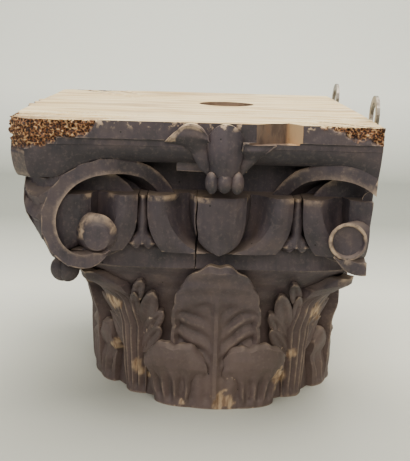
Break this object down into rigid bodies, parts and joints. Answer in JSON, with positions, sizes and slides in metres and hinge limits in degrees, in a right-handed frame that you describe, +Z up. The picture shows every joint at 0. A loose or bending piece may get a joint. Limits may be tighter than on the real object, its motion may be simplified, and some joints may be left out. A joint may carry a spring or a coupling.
{
  "type": "corinthian capital",
  "caption": "Carved wooden column capital with square abacus, corner volutes, egg-and-dart and acanthus leaves, sawn flat at the back, with two steel hanging plates",
  "frame": {"origin": "on the column's axis, in the plane of the underside", "axes": "+Z up along the column's axis, -Y towards the carved front, +X out of the sawn back"},
  "size_m": [0.3905, 0.454, 0.352],
  "materials": {
    "carved_wood": "dark stained, worn, worm-eaten",
    "hanging_steel": "dull, lightly oxidised"
  },
  "bodies": {
    "root": {"capital": "carved_wood", "hanging_plate_front": "hanging_steel", "hanging_plate_rear": "hanging_steel"}
  },
  "joints": []
}
